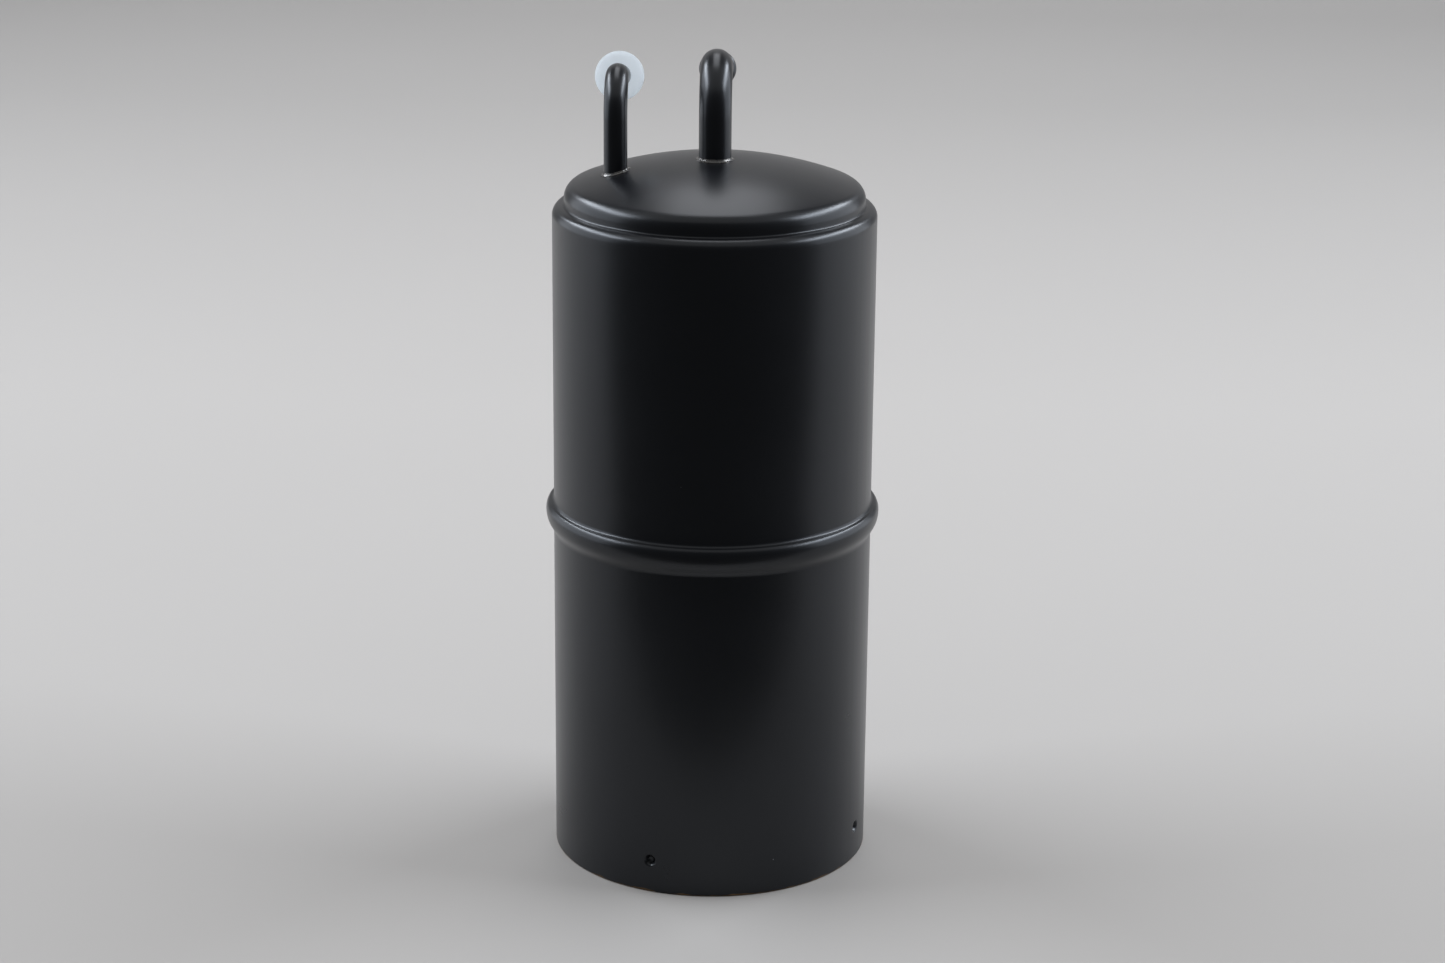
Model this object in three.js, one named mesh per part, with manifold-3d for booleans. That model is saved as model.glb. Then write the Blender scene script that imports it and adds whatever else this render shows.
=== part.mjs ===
// A small steel oil tank: a domed can with two bent-back tubes on top, a return filter cartridge
// that slides on its spring, a suction strainer, and a staked-in bottom plug with a drain.
// Millimetres, +Z up, origin on the can's axis at the foot of its skirt. Both tubes point back along +Y.

import * as THREE from 'three';
import { mergeVertices } from 'three/addons/utils/BufferGeometryUtils.js';
import Module from 'manifold-3d';

const wasm = await Module();
wasm.setup();

// ---------------------------------------------------------------- driving dimensions

const GAP = 0.3; // room left between pieces that touch

// can
const CAN_RADIUS = 40;
const SHEET = 1.2;
const BORE_RADIUS = CAN_RADIUS - SHEET;
const RISER_RADIUS = 37.1; // upright wall of the step under the dome
const SHOULDER_HEIGHT = 167.6; // top of the step
const SHOULDER_ROUND = 2.6;
const STEP_FILLET = 0.8;
const KNUCKLE = 3.9; // round between riser and dome
const DOME_RADIUS = 97;
const DOME_TOP = 179.3;
const BEAD_HEIGHT = 90; // its crest
const BEAD_STAND = 1.95; // how far the bead stands out of the wall
const BEAD_BELOW = 5.5; // from the crest down to the wall
const BEAD_ABOVE = 3.5;

// stakes that hold the bottom plug
const STAKE_COUNT = 4;
const STAKE_HEIGHT = 8.5;
const STAKE_DEPTH = 1.3;
const STAKE_RADIUS = 1.6;
const STAKE_TURN = -20.5; // degrees from straight ahead, -Y, towards +X

// tubes: centre of the upright leg, its foot, the top of the centreline, and the tail past the
// bend, which falls towards its end by so many degrees
const SUCTION = { x: 0, y: -1.6, radius: 4, bore: 3, foot: 50, bend: 11, top: 200.1, fall: 18, tail: 9.6 };
const RETURN = { x: -24.2, y: -3.7, radius: 2.9, bore: 1.9, foot: 169.3, bend: 9, top: 198.1, fall: 12, tail: 7 };
const HOSE_BEAD = { radius: 4.65, half: 1.5, back: 3.5 }; // rolled ring that keeps the hose on

// filter space
const TRAY_UNDERSIDE = 161.3;
const TRAY_SHEET = 1.5;
const CAP_RADIUS = 34.5;
const CAP_SHEET = 1;
const CAP_RIM = 4;
const CARTRIDGE_FOOT = 108.2;
const CARTRIDGE_TOP = 158.3;
const CORE_RADIUS = 22.3;
const COLLAR_RADIUS = 19; // the spigot that the cartridge slides on
const COLLAR_TOP = 114.2;
const TOP_SEAT_RADIUS = 14;
const PLEATS = 36;
const BAFFLE_UNDERSIDE = 91.6;
const BAFFLE_SHEET = 2;
const SNAP_RING_WIRE = 1.3;

// strainer, on the foot of the suction tube
const STRAINER_RADIUS = 11;
const STRAINER_FOOT = 25;
const STRAINER_TOP = 48.5;

// bottom plug and drain
const PLUG_UNDERSIDE = 3;
const PLUG_TOP = 18.5;
const PLUG_RADIUS = 38.4;
const DRAIN_SHANK = 5.8;
const DRAIN_SEAT = 9.4; // height of the washer's seat, in the middle of the plug
const DRAIN_FLATS = 13;

// segments round a turn
const ROUND_LARGE = 40;
const ROUND_MIDDLE = 32;
const ROUND_SMALL = 24;
const ROUND_TUBE = 16;

const RIGHT = Math.PI / 2;
const rad = THREE.MathUtils.degToRad;

// ---------------------------------------------------------------- materials

const steel = (name, color, roughness) => ({ name, color, roughness, metalness: 0.9 });
const FINISH = {
  blackPaint: { name: 'black paint', color: 0x1b1c1f, roughness: 0.45, metalness: 0.1 },
  bareSheet: steel('zinc plated sheet', 0xb9bcc0, 0.4),
  springSteel: steel('spring steel', 0x6f7276, 0.35),
  stainless: steel('stainless mesh', 0xc4c6c8, 0.3),
  copper: steel('copper', 0xb87048, 0.35),
  magnet: steel('nickel plated magnet', 0xd0d0cc, 0.2),
  rubber: { name: 'nitrile rubber', color: 0x141414, roughness: 0.8, metalness: 0 },
  paper: { name: 'filter paper', color: 0xd9c68c, roughness: 0.95, metalness: 0 },
  plugPlastic: { name: 'white polythene', color: 0xe2e8ee, roughness: 0.5, metalness: 0 },
};

// ---------------------------------------------------------------- making solids

// A closed three.js geometry as a solid that can be joined and cut.
function toSolid(geometry) {
  geometry.deleteAttribute('normal');
  geometry.deleteAttribute('uv');
  const merged = mergeVertices(geometry);
  const corners = merged.index.array;
  const triangles = [];
  for (let i = 0; i < corners.length; i += 3) {
    const [a, b, c] = corners.subarray(i, i + 3);
    if (a !== b && b !== c && c !== a) triangles.push(a, b, c);
  }
  return new wasm.Manifold(new wasm.Mesh({
    numProp: 3,
    vertProperties: merged.attributes.position.array,
    triVerts: new Uint32Array(triangles),
  }));
}

function toMesh(name, solid, finish) {
  const { vertProperties, triVerts } = solid.getMesh();
  const geometry = new THREE.BufferGeometry();
  geometry.setAttribute('position', new THREE.BufferAttribute(vertProperties, 3));
  geometry.setIndex(new THREE.BufferAttribute(triVerts, 1));
  geometry.computeVertexNormals();
  const mesh = new THREE.Mesh(geometry, new THREE.MeshStandardMaterial(finish));
  mesh.name = name;
  return mesh;
}

// A turned piece: its outline is a closed list of [radius, height] points.
function turned(outline, segments) {
  const points = outline.map(([r, z]) => new THREE.Vector2(r, z));
  if (THREE.ShapeUtils.isClockWise(points)) points.reverse();
  points.push(points[0].clone());
  return toSolid(new THREE.LatheGeometry(points, segments).rotateX(RIGHT));
}

const ringOutline = (inner, outer, low, high) => [[inner, low], [outer, low], [outer, high], [inner, high]];
const ring = (inner, outer, low, high, segments) => turned(ringOutline(inner, outer, low, high), segments);
const rod = (radius, low, high, segments) => ring(0, radius, low, high, segments);
const wireRing = (radius, wire, height, segments) => turned(arc(radius, height, wire, 0, 300, 5), segments);

// Points on an arc in the [radius, height] plane, angles in degrees from outwards.
function arc(centreR, centreZ, radius, from, to, steps) {
  return Array.from({ length: steps + 1 }, (_, i) => {
    const angle = rad(THREE.MathUtils.lerp(from, to, i / steps));
    return [centreR + radius * Math.cos(angle), centreZ + radius * Math.sin(angle)];
  });
}

// A quarter ellipse from the crest of a bead, at centreZ, to the wall it stands on.
function bulge(wallR, centreZ, stand, rise, steps) {
  return arc(0, 0, 1, 0, 90, steps).map(([out, along]) => [wallR + stand * out, centreZ + rise * along]);
}

function circlePoints(radius, count) {
  return Array.from({ length: count }, (_, i) => {
    const angle = (2 * Math.PI * i) / count;
    return new THREE.Vector2(radius * Math.cos(angle), radius * Math.sin(angle));
  });
}

// Copies of one cutter, equally spaced about the Z axis.
function aroundAxis(cutter, count, first = 0) {
  return Array.from({ length: count }, (_, i) => cutter.rotate([0, 0, first + (360 * i) / count]));
}

const cutAll = (solid, cutters) => cutters.reduce((left, cutter) => left.subtract(cutter), solid);

// ---------------------------------------------------------------- can

// Outline of the can's sheet from its foot to the top of the dome, moved inwards by inset.
function canWall(inset) {
  const wall = CAN_RADIUS - inset;
  const domeCentre = DOME_TOP - DOME_RADIUS;
  const knuckleR = RISER_RADIUS - KNUCKLE;
  const knuckleZ = domeCentre + Math.sqrt((DOME_RADIUS - KNUCKLE) ** 2 - knuckleR ** 2);
  const domeStart = THREE.MathUtils.radToDeg(Math.atan2(knuckleZ - domeCentre, knuckleR));
  const beadBelow = BEAD_BELOW - inset / 2;
  const beadAbove = BEAD_ABOVE - inset / 2;
  const shoulderR = CAN_RADIUS - SHOULDER_ROUND;
  const shoulderZ = SHOULDER_HEIGHT - SHOULDER_ROUND;
  const filletR = RISER_RADIUS + STEP_FILLET;
  const filletZ = SHOULDER_HEIGHT + STEP_FILLET;
  return [
    [wall, 0],
    ...bulge(wall, BEAD_HEIGHT, BEAD_STAND, -beadBelow, 3).reverse(),
    ...bulge(wall, BEAD_HEIGHT, BEAD_STAND, beadAbove, 3).slice(1),
    ...arc(shoulderR, shoulderZ, SHOULDER_ROUND - inset, 0, 90, 2),
    ...arc(filletR, filletZ, STEP_FILLET + inset, 250, 200, 1),
    ...arc(knuckleR, knuckleZ, KNUCKLE - inset, 0, domeStart, 3),
    ...arc(0, domeCentre, DOME_RADIUS - inset, domeStart, 90, 5).slice(1),
  ];
}

// A blunt punch mark in the wall: the dent outside and the bump it raises inside.
function stakePunch(radius, outside, inside) {
  const cone = new THREE.CylinderGeometry(radius * 0.5, radius, outside - inside, ROUND_TUBE / 2);
  return toSolid(cone).translate([0, -(outside + inside) / 2, STAKE_HEIGHT]);
}

function tankShell() {
  const inside = canWall(SHEET).reverse();
  const sheet = turned([...canWall(0), ...inside], ROUND_LARGE);
  const overlap = 0.5; // the bump starts inside the sheet
  const bump = stakePunch(STAKE_RADIUS + 0.6, BORE_RADIUS + overlap, BORE_RADIUS - STAKE_DEPTH);
  const dent = stakePunch(STAKE_RADIUS, CAN_RADIUS + overlap, CAN_RADIUS - STAKE_DEPTH);
  const staked = aroundAxis(bump, STAKE_COUNT, STAKE_TURN)
    .reduce((joined, one) => joined.add(one), sheet);
  const holes = [SUCTION, RETURN].map((tube) =>
    rod(tube.radius + GAP, DOME_TOP - 12, DOME_TOP + 2, ROUND_TUBE).translate([tube.x, tube.y, 0]));
  return cutAll(staked, [...aroundAxis(dent, STAKE_COUNT, STAKE_TURN), ...holes]);
}

// ---------------------------------------------------------------- tubes

// Centreline of a tube: up the leg, round the bend, and out along the tail towards +Y. The leg and
// the tail are each one step of the path and the bend takes the others.
class BentTubePath extends THREE.Curve {
  constructor(tube, steps) {
    super();
    this.tube = tube;
    this.steps = steps;
    this.wholeTurn = RIGHT + rad(tube.fall);
  }

  turnAt(t) {
    return THREE.MathUtils.clamp((t * this.steps - 1) / (this.steps - 2), 0, 1) * this.wholeTurn;
  }

  getPoint(t) {
    const { x, y, bend, top, tail, foot } = this.tube;
    const station = t * this.steps;
    if (station < 1) return new THREE.Vector3(x, y, THREE.MathUtils.lerp(foot, top - bend, station));
    const turn = this.turnAt(t);
    const onBend = new THREE.Vector3(x, y + bend * (1 - Math.cos(turn)), top - bend * (1 - Math.sin(turn)));
    const past = Math.max(0, station - (this.steps - 1)) * tail;
    return onBend.addScaledVector(this.getTangent(t), past);
  }

  getTangent(t) {
    const turn = this.turnAt(t);
    return new THREE.Vector3(0, Math.sin(turn), Math.cos(turn));
  }

  getPointAt(u) {
    return this.getPoint(u);
  }

  getTangentAt(u) {
    return this.getTangent(u);
  }
}

function bentTube(tube) {
  const steps = 9;
  const section = new THREE.Shape(circlePoints(tube.radius, ROUND_TUBE));
  section.holes.push(new THREE.Path(circlePoints(tube.bore, ROUND_TUBE)));
  return toSolid(new THREE.ExtrudeGeometry(section, {
    steps,
    bevelEnabled: false,
    extrudePath: new BentTubePath(tube, steps),
  }));
}

// Puts a piece turned about Z on the tail of a tube: its Z runs out along the tail from the bend.
function onTail(solid, tube) {
  const turn = RIGHT + rad(tube.fall);
  const y = tube.y + tube.bend * (1 - Math.cos(turn));
  const z = tube.top - tube.bend * (1 - Math.sin(turn));
  return solid.rotate([-90 - tube.fall, 0, 0]).translate([tube.x, y, z]);
}

function suctionPipe() {
  const { radius, half, back } = HOSE_BEAD;
  const middle = SUCTION.tail - back;
  const inWall = (SUCTION.radius + SUCTION.bore) / 2;
  const bead = turned([
    [inWall, middle - half],
    [SUCTION.radius, middle - half],
    [radius, middle - half / 2],
    [radius, middle + half / 2],
    [SUCTION.radius, middle + half],
    [inWall, middle + half],
  ], ROUND_TUBE);
  return bentTube(SUCTION).add(onTail(bead, SUCTION));
}

const returnPipe = () => bentTube(RETURN);

// The brazed fillet round the foot of a tube: a low cone that lies along the dome.
function brazeFillet(tube) {
  const width = 0.9;
  const height = 0.7;
  const out = Math.hypot(tube.x, tube.y);
  const lean = THREE.MathUtils.radToDeg(Math.asin(out / DOME_RADIUS));
  const facing = THREE.MathUtils.radToDeg(Math.atan2(tube.y, tube.x));
  const cone = turned([
    [0, 0],
    [tube.radius + width, 0],
    [tube.radius + width / 2, height * 0.6],
    [tube.radius + GAP + 0.1, height],
    [0, height],
  ], ROUND_SMALL)
    .translate([0, 0, DOME_RADIUS + GAP / 2])
    .rotate([0, lean, 0])
    .rotate([0, 0, facing])
    .translate([0, 0, DOME_TOP - DOME_RADIUS]);
  return cone.subtract(
    rod(tube.radius + GAP, DOME_TOP - 12, DOME_TOP + 4, ROUND_SMALL).translate([tube.x, tube.y, 0]));
}

// Tapered shipping plug: a thin cup in the tube's bore with a wide flange to pull it by.
function dustPlug() {
  const flange = 6.2;
  const flangeThick = 1.2;
  const depth = 8;
  const wall = 0.6;
  const face = RETURN.tail + GAP;
  const neck = RETURN.bore - 0.2;
  const tip = RETURN.bore - 0.45;
  const plug = turned([
    [0, face - depth],
    [tip, face - depth],
    [neck, face],
    [flange, face],
    [flange, face + flangeThick],
    [neck - wall, face + flangeThick],
    [tip - wall, face - depth + wall],
    [0, face - depth + wall],
  ], ROUND_SMALL);
  return onTail(plug, RETURN);
}

// ---------------------------------------------------------------- return tray

function returnTray() {
  const top = TRAY_UNDERSIDE + TRAY_SHEET;
  const rim = 1.6;
  const plate = turned([
    [0, TRAY_UNDERSIDE],
    [PLUG_RADIUS, TRAY_UNDERSIDE],
    [PLUG_RADIUS, top + 0.5],
    [PLUG_RADIUS - rim, top + 0.5],
    [PLUG_RADIUS - rim, top],
    [0, top],
  ], ROUND_LARGE);
  const through = (radius) => rod(radius, TRAY_UNDERSIDE - 1, top + 1, ROUND_TUBE);
  const feedCount = 8;
  const returnFacing = THREE.MathUtils.radToDeg(Math.atan2(RETURN.y, RETURN.x));
  const feeds = aroundAxis(through(2.5).translate([27, 0, 0]), feedCount, returnFacing + 180 / feedCount);
  return cutAll(plate, [...feeds, through(SUCTION.radius + 2.2).translate([SUCTION.x, SUCTION.y, 0])]);
}

const trayGasket = () =>
  ring(PLUG_RADIUS - 1.6, PLUG_RADIUS - 0.1, TRAY_UNDERSIDE + TRAY_SHEET + 0.8, SHOULDER_HEIGHT - 1.9, ROUND_LARGE);

function suctionGrommet() {
  const bore = SUCTION.radius + GAP;
  const neck = SUCTION.radius + 1.9;
  const lip = SUCTION.radius + 3.6;
  const lipThick = 1.5;
  const low = TRAY_UNDERSIDE - GAP;
  const high = TRAY_UNDERSIDE + TRAY_SHEET + GAP;
  return turned([
    [bore, low - lipThick],
    [lip, low - lipThick],
    [lip, low],
    [neck, low],
    [neck, high],
    [lip, high],
    [lip, high + lipThick],
    [bore, high + lipThick],
  ], ROUND_SMALL).translate([SUCTION.x, SUCTION.y, 0]);
}

// ---------------------------------------------------------------- filter cartridge

const packInner = CORE_RADIUS + 0.4;
const packOuter = CAP_RADIUS - 1;
const packFoot = CARTRIDGE_FOOT + CAP_SHEET + GAP;
const packTop = CARTRIDGE_TOP - CAP_SHEET - GAP;

function filterTopCap() {
  const underside = CARTRIDGE_TOP - CAP_SHEET;
  const sunk = 1.5; // the seal's seat is pressed down by this much
  return turned([
    [TOP_SEAT_RADIUS, underside - sunk],
    [TOP_SEAT_RADIUS + 6, underside - sunk],
    [TOP_SEAT_RADIUS + 6, underside],
    [CAP_RADIUS - 0.6, underside],
    [CAP_RADIUS - 0.6, CARTRIDGE_TOP - CAP_RIM],
    [CAP_RADIUS, CARTRIDGE_TOP - CAP_RIM],
    [CAP_RADIUS, CARTRIDGE_TOP],
    [TOP_SEAT_RADIUS + 5, CARTRIDGE_TOP],
    [TOP_SEAT_RADIUS + 5, CARTRIDGE_TOP - sunk],
    [TOP_SEAT_RADIUS, CARTRIDGE_TOP - sunk],
  ], ROUND_MIDDLE);
}

const filterTopSeal = () =>
  ring(TOP_SEAT_RADIUS + 0.4, TOP_SEAT_RADIUS + 4.6, CARTRIDGE_TOP - 1.2, TRAY_UNDERSIDE - GAP, ROUND_MIDDLE);

// Paper folded into a ring of pleats: one zigzag band, extruded to the cartridge's height.
function filterMedia() {
  const paper = 0.9;
  const zigzag = (inner, outer) => Array.from({ length: 2 * PLEATS }, (_, i) => {
    const angle = (Math.PI * i) / PLEATS;
    const r = i % 2 ? outer : inner;
    return new THREE.Vector2(r * Math.cos(angle), r * Math.sin(angle));
  });
  const band = new THREE.Shape(zigzag(packInner + 2 * paper, packOuter));
  band.holes.push(new THREE.Path(zigzag(packInner, packOuter - 2 * paper)));
  return toSolid(new THREE.ExtrudeGeometry(band, { depth: packTop - packFoot, bevelEnabled: false }))
    .translate([0, 0, packFoot]);
}

// A tube pierced with rows of round holes, staggered from row to row.
function piercedTube(inner, outer, low, high, holes) {
  const { radius, columns, rows } = holes;
  const spacing = (high - low) / rows;
  const pitch = 360 / columns;
  const punch = new THREE.CylinderGeometry(radius, radius, outer - inner + 2, 6);
  const cutter = toSolid(punch.rotateZ(RIGHT)).translate([(inner + outer) / 2, 0, 0]);
  const cutters = Array.from({ length: rows }, (_, row) =>
    aroundAxis(cutter.translate([0, 0, low + spacing * (row + 0.5)]), columns, (row % 2) * pitch / 2)).flat();
  return cutAll(ring(inner, outer, low, high, ROUND_SMALL), cutters);
}

const filterCore = () =>
  piercedTube(CORE_RADIUS - 1, CORE_RADIUS, packFoot, packTop, { radius: 2.4, columns: 8, rows: 4 });

function filterBottomCap() {
  const top = CARTRIDGE_FOOT + CAP_SHEET;
  return turned([
    [COLLAR_RADIUS + 0.6, CARTRIDGE_FOOT],
    [CAP_RADIUS, CARTRIDGE_FOOT],
    [CAP_RADIUS, CARTRIDGE_FOOT + CAP_RIM],
    [CAP_RADIUS - 0.6, CARTRIDGE_FOOT + CAP_RIM],
    [CAP_RADIUS - 0.6, top],
    [COLLAR_RADIUS + 0.6, top],
  ], ROUND_MIDDLE);
}

const filterBottomSeal = () =>
  ring(COLLAR_RADIUS + 0.3, CORE_RADIUS - 1.3, packFoot, packFoot + 2.4, ROUND_MIDDLE);

// Coil spring between baffle and cartridge, its end turns laid close.
class SpringPath extends THREE.Curve {
  constructor(radius, low, high, turns) {
    super();
    Object.assign(this, { radius, low, high, turns });
  }

  getPoint(t) {
    const angle = 2 * Math.PI * this.turns * t;
    const rise = THREE.MathUtils.smoothstep(t, 0.08, 0.92) * 0.6 + t * 0.4;
    return new THREE.Vector3(
      this.radius * Math.cos(angle),
      this.radius * Math.sin(angle),
      THREE.MathUtils.lerp(this.low, this.high, rise),
    );
  }
}

function filterSpring() {
  const wire = 0.9;
  const low = BAFFLE_UNDERSIDE + BAFFLE_SHEET + GAP + wire;
  const high = CARTRIDGE_FOOT - GAP - wire;
  const path = new SpringPath(24, low, high, 3);
  return toSolid(new THREE.ExtrudeGeometry(new THREE.Shape(circlePoints(wire, 6)), {
    steps: 48,
    bevelEnabled: false,
    extrudePath: path,
  }));
}

// ---------------------------------------------------------------- baffle

function bafflePlate() {
  const top = BAFFLE_UNDERSIDE + BAFFLE_SHEET;
  const collarBore = COLLAR_RADIUS - 1.5;
  return turned([
    [collarBore, BAFFLE_UNDERSIDE],
    [PLUG_RADIUS, BAFFLE_UNDERSIDE],
    [PLUG_RADIUS, top],
    [COLLAR_RADIUS, top],
    [COLLAR_RADIUS, COLLAR_TOP],
    [collarBore, COLLAR_TOP],
  ], ROUND_LARGE);
}

// Round-wire ring in the groove behind the can's bead, open at the back so that it can be sprung in.
function snapRing() {
  const opening = new THREE.BoxGeometry(9, 8, 4);
  return wireRing(BORE_RADIUS + 0.2, SNAP_RING_WIRE, BEAD_HEIGHT, ROUND_LARGE)
    .subtract(toSolid(opening).translate([0, BORE_RADIUS, BEAD_HEIGHT]));
}

// ---------------------------------------------------------------- strainer

const onSuctionAxis = (solid) => solid.translate([SUCTION.x, SUCTION.y, 0]);

function strainerFerrule() {
  const bore = SUCTION.radius + GAP;
  const neck = SUCTION.radius + 2;
  return onSuctionAxis(turned([
    [bore, STRAINER_TOP - 2.5],
    [bore, STRAINER_TOP + 9.5],
    [neck, STRAINER_TOP + 9.5],
    [neck, STRAINER_TOP],
    [STRAINER_RADIUS, STRAINER_TOP],
    [STRAINER_RADIUS, STRAINER_TOP - 6.5],
    [STRAINER_RADIUS - 0.8, STRAINER_TOP - 6.5],
    [STRAINER_RADIUS - 0.8, STRAINER_TOP - 2.5],
  ], ROUND_SMALL));
}

function strainerScreen() {
  const low = STRAINER_FOOT + 2 + GAP;
  const high = STRAINER_TOP - 2.5 - GAP;
  const outer = STRAINER_RADIUS - 1.1;
  return onSuctionAxis(piercedTube(outer - 0.9, outer, low, high, { radius: 1.5, columns: 8, rows: 4 }));
}

function strainerEndCap() {
  return onSuctionAxis(turned([
    [0, STRAINER_FOOT],
    [STRAINER_RADIUS, STRAINER_FOOT],
    [STRAINER_RADIUS, STRAINER_FOOT + 6],
    [STRAINER_RADIUS - 0.8, STRAINER_FOOT + 6],
    [STRAINER_RADIUS - 0.8, STRAINER_FOOT + 2],
    [0, STRAINER_FOOT + 2],
  ], ROUND_SMALL));
}

// ---------------------------------------------------------------- bottom plug

const oRingHeight = 14.6;
const oRingWire = 1.05;

function bottomPlug() {
  const stakeGroove = 36.4;
  const ringGroove = 36;
  const drainPocket = 10;
  const hub = 15;
  const rimInner = 32;
  return turned([
    [DRAIN_SHANK + GAP, DRAIN_SEAT],
    [drainPocket, DRAIN_SEAT],
    [drainPocket, PLUG_UNDERSIDE],
    [hub, PLUG_UNDERSIDE],
    [hub, DRAIN_SEAT],
    [rimInner, DRAIN_SEAT],
    [rimInner, PLUG_UNDERSIDE],
    [PLUG_RADIUS, PLUG_UNDERSIDE],
    [PLUG_RADIUS, STAKE_HEIGHT - 2.6],
    [stakeGroove, STAKE_HEIGHT - 2.6],
    [stakeGroove, STAKE_HEIGHT + 2.6],
    [PLUG_RADIUS, STAKE_HEIGHT + 2.6],
    [PLUG_RADIUS, oRingHeight - 1.5],
    [ringGroove, oRingHeight - 1.5],
    [ringGroove, oRingHeight + 1.5],
    [PLUG_RADIUS, oRingHeight + 1.5],
    [PLUG_RADIUS, PLUG_TOP],
    [DRAIN_SHANK + GAP, PLUG_TOP],
  ], ROUND_LARGE);
}

const bottomPlugORing = () => wireRing(37.35, oRingWire, oRingHeight, ROUND_LARGE);

const washerThick = 1.2;
const headTop = DRAIN_SEAT - washerThick - 2 * GAP;
const headLow = PLUG_UNDERSIDE + 0.6;
const magnetPocket = 3.5;
const noseTop = PLUG_TOP + 1;

function drainPlug() {
  const corner = DRAIN_FLATS / Math.sqrt(3);
  const head = rod(corner, headLow, headTop, 6);
  const shank = rod(DRAIN_SHANK, headTop - 1, noseTop, ROUND_SMALL);
  return head.add(shank).subtract(rod(magnetPocket, noseTop - 4, noseTop + 1, ROUND_TUBE));
}

const drainWasher = () =>
  ring(DRAIN_SHANK + GAP, 9.2, headTop + GAP, DRAIN_SEAT - GAP, ROUND_SMALL);

const drainPlugMagnet = () => rod(magnetPocket - GAP, noseTop - 4 + GAP, noseTop + 0.5, ROUND_TUBE);

// ---------------------------------------------------------------- assembly

const tank = new THREE.Group();
tank.add(
  toMesh('tank_shell', tankShell(), FINISH.blackPaint),
  toMesh('suction_pipe', suctionPipe(), FINISH.blackPaint),
  toMesh('return_pipe', returnPipe(), FINISH.blackPaint),
  toMesh('suction_pipe_braze', brazeFillet(SUCTION), FINISH.blackPaint),
  toMesh('return_pipe_braze', brazeFillet(RETURN), FINISH.blackPaint),
  toMesh('return_dust_plug', dustPlug(), FINISH.plugPlastic),
);

const insideTop = new THREE.Group();
insideTop.add(
  toMesh('return_tray', returnTray(), FINISH.bareSheet),
  toMesh('tray_gasket', trayGasket(), FINISH.rubber),
  toMesh('suction_grommet', suctionGrommet(), FINISH.rubber),
);

const cartridge = new THREE.Group();
cartridge.add(
  toMesh('filter_top_seal', filterTopSeal(), FINISH.rubber),
  toMesh('filter_top_cap', filterTopCap(), FINISH.bareSheet),
  toMesh('filter_media', filterMedia(), FINISH.paper),
  toMesh('filter_core', filterCore(), FINISH.bareSheet),
  toMesh('filter_bottom_cap', filterBottomCap(), FINISH.bareSheet),
  toMesh('filter_bottom_seal', filterBottomSeal(), FINISH.rubber),
);

const insideMiddle = new THREE.Group();
insideMiddle.add(
  toMesh('filter_spring', filterSpring(), FINISH.springSteel),
  toMesh('baffle_plate', bafflePlate(), FINISH.bareSheet),
  toMesh('baffle_snap_ring', snapRing(), FINISH.springSteel),
);

const strainer = new THREE.Group();
strainer.add(
  toMesh('strainer_ferrule', strainerFerrule(), FINISH.bareSheet),
  toMesh('strainer_screen', strainerScreen(), FINISH.stainless),
  toMesh('strainer_end_cap', strainerEndCap(), FINISH.bareSheet),
);

const bottom = new THREE.Group();
bottom.add(
  toMesh('bottom_plug', bottomPlug(), FINISH.blackPaint),
  toMesh('bottom_plug_o_ring', bottomPlugORing(), FINISH.rubber),
  toMesh('drain_plug', drainPlug(), FINISH.bareSheet),
  toMesh('drain_washer', drainWasher(), FINISH.copper),
  toMesh('drain_plug_magnet', drainPlugMagnet(), FINISH.magnet),
);

const reservoir = new THREE.Group();
reservoir.add(tank, insideTop, cartridge, insideMiddle, strainer, bottom);

export default reservoir;
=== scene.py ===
"""A small black oil tank with two bent-back tubes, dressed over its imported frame."""
import math

import bmesh
import bpy
from mathutils import Matrix, Vector


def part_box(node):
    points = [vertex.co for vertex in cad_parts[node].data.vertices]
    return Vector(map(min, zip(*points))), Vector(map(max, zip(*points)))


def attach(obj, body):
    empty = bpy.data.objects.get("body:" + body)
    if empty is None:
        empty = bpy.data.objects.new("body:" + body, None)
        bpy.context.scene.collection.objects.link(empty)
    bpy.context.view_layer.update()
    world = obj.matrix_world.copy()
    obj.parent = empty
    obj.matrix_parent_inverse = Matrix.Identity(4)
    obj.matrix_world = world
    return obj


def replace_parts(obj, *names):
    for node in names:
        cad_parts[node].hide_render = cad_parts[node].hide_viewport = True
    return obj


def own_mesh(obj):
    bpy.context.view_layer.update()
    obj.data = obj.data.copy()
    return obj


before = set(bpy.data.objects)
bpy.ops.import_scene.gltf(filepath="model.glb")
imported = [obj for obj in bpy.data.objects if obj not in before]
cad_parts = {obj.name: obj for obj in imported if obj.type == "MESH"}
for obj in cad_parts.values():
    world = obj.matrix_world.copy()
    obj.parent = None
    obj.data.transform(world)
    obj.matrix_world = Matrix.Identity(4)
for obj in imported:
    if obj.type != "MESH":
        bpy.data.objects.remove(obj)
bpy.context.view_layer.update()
MM = 0.001

# ---------------------------------------------------------------- the table and the light
# The tank stands on a pale table top that runs up into a pale backdrop. A soft box hangs behind
# and above it under a wide dim ceiling, a bright pane over a dim one stands at each side, and
# the room in front is nearly dark.


def new_material(name):
    material = bpy.data.materials.new(name)
    material.use_nodes = True
    nodes, links = material.node_tree.nodes, material.node_tree.links
    place = nodes.new("ShaderNodeTexCoord").outputs["Object"]
    return material, nodes, links, nodes["Principled BSDF"].inputs, place


def noise(nodes, links, place, scale, detail=2):
    cloud = nodes.new("ShaderNodeTexNoise")
    cloud.inputs["Scale"].default_value = scale
    cloud.inputs["Detail"].default_value = detail
    links.new(place, cloud.inputs["Vector"])
    return cloud.outputs["Fac"]


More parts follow.
